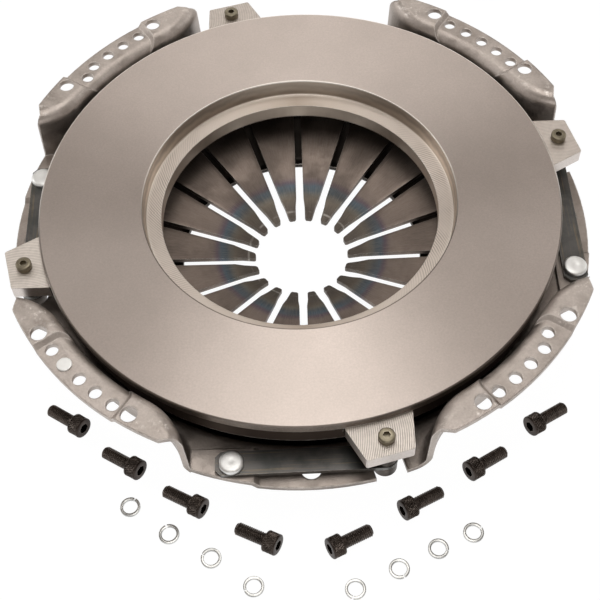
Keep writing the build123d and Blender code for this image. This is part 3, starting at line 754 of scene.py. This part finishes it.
def make_washer_tree():
    """A split spring washer: a square section bent round, its ends sprung apart."""
    tree, given, result = new_group(
        "split washer", "GeometryNodeTree",
        [
            ("Base", "NodeSocketGeometry", None),
            ("Middle radius", "NodeSocketFloat", 0.005),
            ("Width", "NodeSocketFloat", 0.002),
            ("Thickness", "NodeSocketFloat", 0.002),
            ("Gap angle", "NodeSocketFloat", 0.3),
            ("Spring", "NodeSocketFloat", 0.0004),
            ("Finish", "NodeSocketMaterial", None),
        ],
        [("Washer", "NodeSocketGeometry")],
    )
    size = given.outputs
    arc = geometry_node(tree, "GeometryNodeCurveArc", Resolution=72, Radius=size["Middle radius"])
    sweep_angle = calc(tree, "SUBTRACT", 2 * math.pi, size["Gap angle"])
    feed(tree, arc.inputs["Sweep Angle"], sweep_angle)
    share = tree.nodes.new("GeometryNodeSplineParameter").outputs["Factor"]
    lift = tree.nodes.new("ShaderNodeCombineXYZ")
    feed(tree, lift.inputs[2], product(tree, share, size["Spring"]))
    sprung = geometry_node(
        tree, "GeometryNodeSetPosition", Geometry=arc.outputs["Curve"], Offset=lift.outputs[0]
    )
    section = tree.nodes.new("GeometryNodeCurvePrimitiveQuadrilateral")
    feed(tree, section.inputs["Width"], size["Width"])
    feed(tree, section.inputs["Height"], size["Thickness"])
    rounded = tree.nodes.new("GeometryNodeFilletCurve")
    rounded.mode = "POLY"
    feed(tree, rounded.inputs["Curve"], section.outputs[0])
    rounded.inputs["Count"].default_value = 2
    rounded.inputs["Radius"].default_value = 0.00025
    sweep = tree.nodes.new("GeometryNodeCurveToMesh")
    tree.links.new(sprung.outputs[0], sweep.inputs["Curve"])
    tree.links.new(rounded.outputs[0], sweep.inputs["Profile Curve"])
    sweep.inputs["Fill Caps"].default_value = True
    real = geometry_node(tree, "GeometryNodeRealizeInstances", Geometry=sweep.outputs[0])
    faced = geometry_node(
        tree, "GeometryNodeSetMaterial", Geometry=real.outputs[0], Material=size["Finish"]
    )
    tree.links.new(faced.outputs[0], result.inputs[0])
    return tree


def make_round_tree():
    """Repeats one sector about Z and joins the copies."""
    tree, given, result = new_group(
        "sectors round", "GeometryNodeTree",
        [
            ("Sector", "NodeSocketGeometry", None),
            ("Count", "NodeSocketInt", fingers),
            ("Finish", "NodeSocketMaterial", None),
        ],
        [("Whole", "NodeSocketGeometry")],
    )
    size = given.outputs
    points = geometry_node(tree, "GeometryNodeMeshLine", Count=size["Count"])
    points.inputs["Offset"].default_value = (0.0, 0.0, 0.0)
    index = tree.nodes.new("GeometryNodeInputIndex").outputs[0]
    turn = tree.nodes.new("ShaderNodeCombineXYZ")
    step = calc(tree, "DIVIDE", 2 * math.pi, size["Count"])
    feed(tree, turn.inputs[2], product(tree, index, step))
    copies = geometry_node(
        tree, "GeometryNodeInstanceOnPoints",
        Points=points.outputs[0], Instance=size["Sector"], Rotation=turn.outputs[0],
    )
    real = geometry_node(tree, "GeometryNodeRealizeInstances", Geometry=copies.outputs[0])
    joined = geometry_node(tree, "GeometryNodeMergeByDistance", Geometry=real.outputs[0])
    joined.inputs["Distance"].default_value = 5e-6
    faced = geometry_node(
        tree, "GeometryNodeSetMaterial", Geometry=joined.outputs[0], Material=size["Finish"]
    )
    tree.links.new(faced.outputs[0], result.inputs[0])
    return tree


turned_tree = make_turned_tree()
washer_tree = make_washer_tree()
round_tree = make_round_tree()


def turned_part(name, outline, finish, **sizes):
    """A part turned from (radius, height) points in millimetres, lowest first."""
    core = 0.1
    points = [((radius - core) * MM, -height * MM, 0.0) for radius, height in outline]
    mesh = bpy.data.meshes.new(name)
    mesh.from_pydata(points, [(n, n + 1) for n in range(len(points) - 1)], [])
    piece = new_object(name, mesh)
    modifier = piece.modifiers.new("turning", "NODES")
    modifier.node_group = turned_tree
    set_input(modifier, turned_tree, "Finish", finishes[finish])
    for label, value in sizes.items():
        label = label.replace("_", " ").capitalize()
        if label not in ("Columns", "Knurl count", "Knurl slant"):
            value = value * MM
        set_input(modifier, turned_tree, label, value)
    return settled(piece, name, finish)


def at_angle(radius, angle, height=0.0):
    """A point at a radius and an angle about the clutch axis, from millimetres and degrees."""
    return Vector((
        radius * MM * math.cos(math.radians(angle)),
        radius * MM * math.sin(math.radians(angle)),
        height * MM,
    ))


def cone_height(radius):
    """Height of the middle of the diaphragm spring."""
    if radius < tip_bend_radius:
        return cone_height(tip_bend_radius) - (tip_bend_radius - radius) * tip_slope
    return pivot_height + (radius - pivot_radius) * cone_slope


def gap_half_width(radius):
    """Half the width of the gap between two fingers, at a radius."""
    tip_corner = 1.6
    corner = spring_inner_radius + tip_corner - radius
    if corner > 0:
        return tip_gap_half_width + tip_corner - math.sqrt(max(tip_corner ** 2 - corner ** 2, 0.0))
    if radius < tip_shoulder_radius:
        return tip_gap_half_width
    if radius < tip_bend_radius:
        share = (radius - tip_shoulder_radius) / (tip_bend_radius - tip_shoulder_radius)
        return tip_gap_half_width + (gap_half - tip_gap_half_width) * share
    if radius < slot_end_low:
        return gap_half
    if radius > slot_end_high + 0.01:
        return 0.0
    inset = max(slot_end_low + slot_end_round - radius, radius - slot_end_high + slot_end_round, 0.0)
    return slot_end_width + math.sqrt(max(slot_end_round ** 2 - inset ** 2, 0.0))


def diaphragm():
    """The slotted spring cone: one finger and its share of the rim, repeated round."""
    radii = [spring_inner_radius, 31.15, 31.5, 32.0, 32.6, 34.5, 36.5, 38.3, 40.0]
    radii += [42.0, 44.0, 46.0, 48.0, 50.0]
    radii += [50.0 + 6.0 * n for n in range(1, 10)]
    radii += [108.0, 110.4, 110.51, 110.8, 111.5, 112.4, 113.5, 116.0, 118.5, 119.6, 120.5, 121.2]
    radii += [121.5, 121.52, 124.0, 130.0, 136.0, 142.0, 146.5, 149.2, spring_outer_radius]
    columns = 8
    half = cone_thickness / 2 / math.cos(math.atan(cone_slope))
    round_off = {spring_outer_radius: 0.7, spring_inner_radius: 0.7}
    verts = []
    for side in (-1, 1):
        for radius in radii:
            reach = math.radians(10.0) - math.asin(gap_half_width(radius) / radius)
            for column in range(columns + 1):
                angle = reach * (2 * column / columns - 1)
                height = cone_height(radius) + side * (half - round_off.get(radius, 0.0))
                verts.append((radius * math.cos(angle) * MM, radius * math.sin(angle) * MM, height * MM))
    rows = len(radii)

    def at(side, row, column):
        return (side * rows + row) * (columns + 1) + column

    faces = []
    for row in range(rows - 1):
        for column in range(columns):
            for side in (0, 1):
                quad = [at(side, row, column), at(side, row + 1, column),
                        at(side, row + 1, column + 1), at(side, row, column + 1)]
                faces.append(quad if side else quad[::-1])
        if gap_half_width(radii[row]) > 0:
            for column in (0, columns):
                quad = [at(0, row, column), at(0, row + 1, column),
                        at(1, row + 1, column), at(1, row, column)]
                faces.append(quad if column == 0 else quad[::-1])
    for row in (0, rows - 1):
        for column in range(columns):
            quad = [at(0, row, column), at(0, row, column + 1), at(1, row, column + 1), at(1, row, column)]
            faces.append(quad if row else quad[::-1])
    mesh = bpy.data.meshes.new("finger")
    mesh.from_pydata(verts, [], faces)
    piece = new_object("finger", mesh)
    modifier = piece.modifiers.new("repeat", "NODES")
    modifier.node_group = round_tree
    set_input(modifier, round_tree, "Count", fingers)
    set_input(modifier, round_tree, "Finish", finishes["heat_tinted_spring_steel"])
    edge = piece.modifiers.new("rolled corners", "BEVEL")
    edge.width = 0.45 * MM
    edge.segments = 2
    edge.limit_method = "ANGLE"
    edge.angle_limit = math.radians(50)
    return settled(piece, "diaphragm_fingers", "heat_tinted_spring_steel")


def strap_mesh(angle, layer):
    """One strap leaf, divided along its length into many short rows."""
    start = at_angle(strap_rivet_circle, angle - strap_rivet_angle)
    finish = at_angle(screw_circle, angle + screw_angle)
    middle = (start + finish) / 2
    along = (finish - start).normalized()
    across = Vector((-along.y, along.x, 0.0))
    half_length = (finish - start).length / 2
    half_width = 7.5 * MM
    corner = 3.5 * MM
    base = (pad_height + layer * leaf_thickness) * MM
    low_end = -half_length - 9.5 * MM
    count = 40
    steps = [(low_end, half_width - corner), (low_end + corner, half_width)]
    low = low_end + corner
    steps += [(low + (half_length - low) * n / count, half_width) for n in range(1, count + 1)]
    for n in range(1, 10):
        turn = math.radians(9.5 * n)
        steps.append((half_length + half_width * math.sin(turn), half_width * math.cos(turn)))
    lanes = 6
    shape = bmesh.new()
    marks = shape.loops.layers.uv.new("leaf")
    rows = []
    for s, width in steps:
        row = []
        for level in (0, 1):
            for lane in range(lanes + 1):
                t = width * (2 * lane / lanes - 1)
                spot = middle + along * s + across * t
                row.append((shape.verts.new((spot.x, spot.y, base + level * leaf_thickness * MM)), s, t))
        rows.append(row)

    def face(corners):
        made = shape.faces.new([c[0] for c in corners])
        for loop, c in zip(made.loops, corners):
            loop[marks].uv = (c[1], c[2])

    wide = lanes + 1
    for first, second in zip(rows, rows[1:]):
        for lane in range(lanes):
            face([first[lane], first[lane + 1], second[lane + 1], second[lane]])
            top = [wide + lane, wide + lane + 1]
            face([first[top[0]], second[top[0]], second[top[1]], first[top[1]]])
        face([first[0], second[0], second[wide], first[wide]])
        last = lanes
        face([first[last], first[last + wide], second[last + wide], second[last]])
    for row in (rows[0], rows[-1]):
        for lane in range(lanes):
            face([row[lane], row[wide + lane], row[wide + lane + 1], row[lane + 1]])
    bmesh.ops.recalc_face_normals(shape, faces=shape.faces)
    mesh = bpy.data.meshes.new("leaf")
    shape.to_mesh(mesh)
    shape.free()
    mesh.materials.append(finishes["tinted_strap_steel"])
    return mesh, start, finish


def socket_bolt(name, finish, head_r, head, shank_r, length, apothem, depth, pitch, knurl, plain):
    """A socket head screw standing on its tip side, the underside of its head at zero height."""
    tip = -length
    outline = [(0.0, tip), (shank_r - 1.3, tip), (shank_r - 0.9, tip + 0.15), (shank_r - 0.3, tip + 0.9)]
    height = tip + 0.9
    step = pitch / 5
    while height < -plain:
        outline.append((shank_r, height))
        height += step
    outline += [(shank_r - 0.12, -plain + 0.1), (shank_r - 0.12, -0.5), (shank_r, 0.0)]
    knurl_low = 0.9
    knurl_high = head - 1.3
    outline += [(head_r - 0.5, 0.0), (head_r - 0.15, 0.12), (head_r, 0.45), (head_r, knurl_low - 0.05)]
    height = knurl_low + 0.1
    while height < knurl_high:
        outline.append((head_r, height))
        height += 0.5
    outline += [
        (head_r, knurl_high + 0.05), (head_r, head - 0.8), (head_r - 0.12, head - 0.4),
        (head_r - 0.45, head - 0.1), (head_r - 0.8, head),
        (apothem * 1.1547 + 0.35, head), (apothem, head - 0.02),
    ]
    outline += [(apothem, head - depth * n / 4) for n in range(1, 5)]
    outline.append((0.0, head - depth))
    return turned_part(
        name, outline, finish, columns=144, thread_pitch=pitch, thread_depth=0.62 * pitch * 0.75,
        thread_low=tip + 0.7, thread_high=-plain - 0.05, knurl_count=26, knurl_depth=knurl, knurl_slant=0.30,
        knurl_low=knurl_low, knurl_high=knurl_high, core_radius=shank_r - 0.6,
        socket_apothem=apothem, socket_floor=head - depth,
    )


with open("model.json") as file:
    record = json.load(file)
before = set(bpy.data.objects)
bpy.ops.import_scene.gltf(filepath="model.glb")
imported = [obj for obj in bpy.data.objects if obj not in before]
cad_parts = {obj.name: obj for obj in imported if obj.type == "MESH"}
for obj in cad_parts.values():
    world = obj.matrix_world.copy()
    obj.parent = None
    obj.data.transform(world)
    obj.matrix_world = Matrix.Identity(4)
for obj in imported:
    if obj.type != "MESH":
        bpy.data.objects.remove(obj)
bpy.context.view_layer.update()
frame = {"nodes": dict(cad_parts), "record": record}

record_slots = {part["node"]: part["material_slot"] for part in frame["record"]["subparts"]}
for name, node in frame["nodes"].items():
    node.data.materials.clear()
    node.data.materials.append(finishes[record_slots[name]])

# Diaphragm spring, as one fixed shape; the real spring flattens as the ring is pressed in
spring = seat(
    diaphragm(), "diaphragm_fingers", "diaphragm_spring", "cover_assembly",
    smooth=30.0,
)
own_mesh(spring)

# Drive straps, riveted to the cover at one end and screwed to a lug at the other
for number in range(1, 5):
    for layer, level in enumerate(("lower", "middle", "upper")):
        mesh, start, finish = strap_mesh(90.0 * (number - 1), layer)
        name = f"strap_{number}_{level}_leaf"
        leaf = new_object(f"leaf_{number}_{level}", mesh)
        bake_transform(leaf)
        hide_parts(name)

# Bright rivets of the straps: low crowned heads with a faint set mark
strap_top = pad_height + 3 * leaf_thickness
rivet_mesh = turned_part(
    "strap_rivet",
    [
        (0.0, -8.9), (4.2, -8.9), (5.4, -8.5), (6.0, -7.6), (6.0, -6.4), (4.0, -6.4),
        (4.0, -3.0), (4.0, 0.0), (7.2, 0.0), (7.5, 0.3), (7.5, 1.2), (7.42, 1.8), (7.1, 2.3),
        (6.5, 2.65), (5.4, 2.86), (4.0, 2.95), (1.9, 3.0), (1.5, 2.93), (0.0, 2.9),
    ],
    "zinc_plated_rivet", columns=72, thread_depth=0.0,
)
screw_mesh = socket_bolt(
    "lug_screw", "olive_screw", 4.85, 4.4, 3.1, 33.0 + lug_top + 12.5, 2.0, 2.6, 1.27, 0.12, 21.0
)
for number in range(1, 5):
    angle = 90.0 * (number - 1)
    place = at_angle(strap_rivet_circle, angle - strap_rivet_angle, strap_top)
    seat(
        rivet_mesh, f"bright_rivet_{number}", f"strap_rivet_{number}", "cover_assembly",
        Matrix.Translation(place), 35.0,
    )
    place = at_angle(screw_circle, angle + screw_angle, lug_top)
    turn = Matrix.Rotation(math.radians(angle + 23.0 * number), 4, "Z")
    seat(
        screw_mesh, f"ring_screw_{number}", f"lug_screw_{number}", "pressure_ring_assembly",
        Matrix.Translation(place) @ turn, 35.0,
    )

# Loose bolts, each lying on the rim of its head and on its tip
head_r = 6.5
shank_r = 4.0
head = 8.0
length = 20.0
bolt_mesh = socket_bolt(
    "fixing_bolt", "black_bolt", head_r, head, shank_r, length, 3.0, 4.0, 1.25, 0.62, 2.4
)
lean = math.atan((head_r - shank_r) / (length - 0.9))
for number, (x, y, heading) in enumerate(bolt_places, start=1):
    flat = Vector((math.cos(math.radians(heading)), math.sin(math.radians(heading)), 0.0))
    axis = (flat * math.cos(lean) + Vector((0, 0, math.sin(lean)))).normalized()
    root = Vector((x, y, 0.0)) * MM - flat * math.cos(lean) * head * MM
    root.z = (floor_height + head_r * math.cos(lean)) * MM
    side = Vector((-flat.y, flat.x, 0.0))
    turn = Matrix((side, axis.cross(side), axis)).transposed().to_4x4()
    spin = Matrix.Rotation(math.radians(37.0 * number), 4, "Z")
    seat(
        bolt_mesh, f"socket_bolt_{number}", f"fixing_bolt_{number}", "cover_assembly",
        Matrix.Translation(root) @ turn @ spin, 35.0,
    )

# Loose lock washers
holder = new_object("washer", bpy.data.meshes.new("washer"))
modifier = holder.modifiers.new("washer", "NODES")
modifier.node_group = washer_tree
for label, value in (
    ("Middle radius", 5.2 * MM), ("Width", 1.75 * MM), ("Thickness", 1.8 * MM),
    ("Gap angle", 0.16), ("Spring", 0.2 * MM), ("Finish", finishes["bright_washer"]),
):
    set_input(modifier, washer_tree, label, value)
washer_mesh = settled(holder, "split_washer", "bright_washer")
for number, (x, y) in enumerate(washer_places, start=1):
    place = Matrix.Translation(Vector((x, y, floor_height + 0.9)) * MM)
    turn = Matrix.Rotation(math.radians(washer_turn * number + 20.0), 4, "Z")
    seat(
        washer_mesh, f"split_washer_{number}", f"lock_washer_{number}", "cover_assembly",
        place @ turn, 35.0,
    )


# Table, light and camera

def table():
    """A plain white table that keeps the soft shadow."""
    half = 4.0
    low = floor_height * MM - 0.0001
    mesh = bpy.data.meshes.new("table")
    mesh.from_pydata(
        [(-half, -half, low), (half, -half, low), (half, half, low), (-half, half, low)],
        [], [(0, 1, 2, 3)],
    )
    top = new_object("table", mesh)
    material, tree, shader = new_finish("white table", 0.0, 0.9)
    cloud = noise(tree, own_position(tree), 6.0)
    feed(
        tree, shader.inputs["Base Color"],
        mixed(tree, cloud, (0.90, 0.90, 0.90), (0.94, 0.94, 0.94)),
    )
    glow = tree.nodes.new("ShaderNodeEmission")
    glow.inputs["Strength"].default_value = 1.04
    light_path = tree.nodes.new("ShaderNodeLightPath")
    seen = calc(
        tree, "MAXIMUM", light_path.outputs["Is Camera Ray"],
        calc(tree, "MAXIMUM", light_path.outputs["Is Glossy Ray"], light_path.outputs["Is Transmission Ray"]),
    )
    blend = tree.nodes.new("ShaderNodeMixShader")
    feed(tree, blend.inputs[0], product(tree, seen, 0.94))
    tree.links.new(shader.outputs[0], blend.inputs[1])
    tree.links.new(glow.outputs[0], blend.inputs[2])
    tree.links.new(blend.outputs[0], tree.nodes["Material Output"].inputs[0])
    mesh.materials.append(material)


def lamp(name, place, target, width, height, power, colour=(1.0, 1.0, 1.0)):
    """A soft box that points at a target."""
    light = bpy.data.lights.new(name, "AREA")
    light.shape = "RECTANGLE"
    light.size = width
    light.size_y = height
    light.energy = power
    light.color = colour
    holder = bpy.data.objects.new(name, light)
    bpy.context.scene.collection.objects.link(holder)
    holder.location = place
    holder.rotation_euler = (Vector(target) - Vector(place)).to_track_quat("-Z", "Y").to_euler()


def studio_air():
    """Soft warm fill from all round, which the camera sees as white."""
    world = bpy.data.worlds.new("studio")
    bpy.context.scene.world = world
    world.use_nodes = True
    tree = world.node_tree
    fill = tree.nodes["Background"]
    fill.inputs["Color"].default_value = (0.345, 0.318, 0.297, 1.0)
    fill.inputs["Strength"].default_value = 1.0
    white = tree.nodes.new("ShaderNodeBackground")
    white.inputs["Color"].default_value = (1.0, 1.0, 1.0, 1.0)
    seen = tree.nodes.new("ShaderNodeLightPath").outputs["Is Camera Ray"]
    blend = tree.nodes.new("ShaderNodeMixShader")
    tree.links.new(seen, blend.inputs[0])
    tree.links.new(fill.outputs[0], blend.inputs[1])
    tree.links.new(white.outputs[0], blend.inputs[2])
    tree.links.new(blend.outputs[0], tree.nodes["World Output"].inputs["Surface"])


def camera():
    """The photograph's view, from the front and above."""
    lens = bpy.data.cameras.new("camera")
    lens.sensor_fit = "HORIZONTAL"
    lens.sensor_width = 36.0
    lens.lens = 71.94
    lens.clip_end = 20.0
    holder = bpy.data.objects.new("camera", lens)
    bpy.context.scene.collection.objects.link(holder)
    down, swing, roll = math.radians(56.15), math.radians(-0.81), math.radians(-2.70)
    ahead = Vector((math.sin(swing) * math.cos(down), math.cos(swing) * math.cos(down), -math.sin(down)))
    right = Vector((math.cos(swing), -math.sin(swing), 0.0))
    up = right.cross(ahead)
    turned_right = right * math.cos(roll) + up * math.sin(roll)
    turned_up = up * math.cos(roll) - right * math.sin(roll)
    pose = Matrix((turned_right, turned_up, -ahead)).transposed().to_4x4()
    pose.translation = Vector((4.17, -477.98, 589.7)) * MM
    holder.matrix_world = pose
    bpy.context.scene.camera = holder


table()
lamp("overhead box", (0.0, 0.20, 1.35), (0.0, 0.0, 0.0), 0.66, 1.2, 5.8, (1.0, 0.985, 0.965))
lamp("back box", (0.0, 1.75, 1.15), (0.0, 0.0, 0.0), 1.5, 0.6, 3.8, (1.0, 0.985, 0.965))
lamp("front box", (-0.12, -1.7, 0.60), (0.0, 0.0, -0.03), 1.5, 0.8, 4.5)
lamp("left box", (-1.3, 0.50, 0.75), (0.0, 0.0, 0.0), 0.7, 0.8, 4.2)
lamp("right box", (1.3, 0.60, 0.75), (0.0, 0.0, 0.0), 0.7, 0.8, 3.0)
studio_air()
camera()
bpy.context.scene.view_settings.view_transform = "Standard"
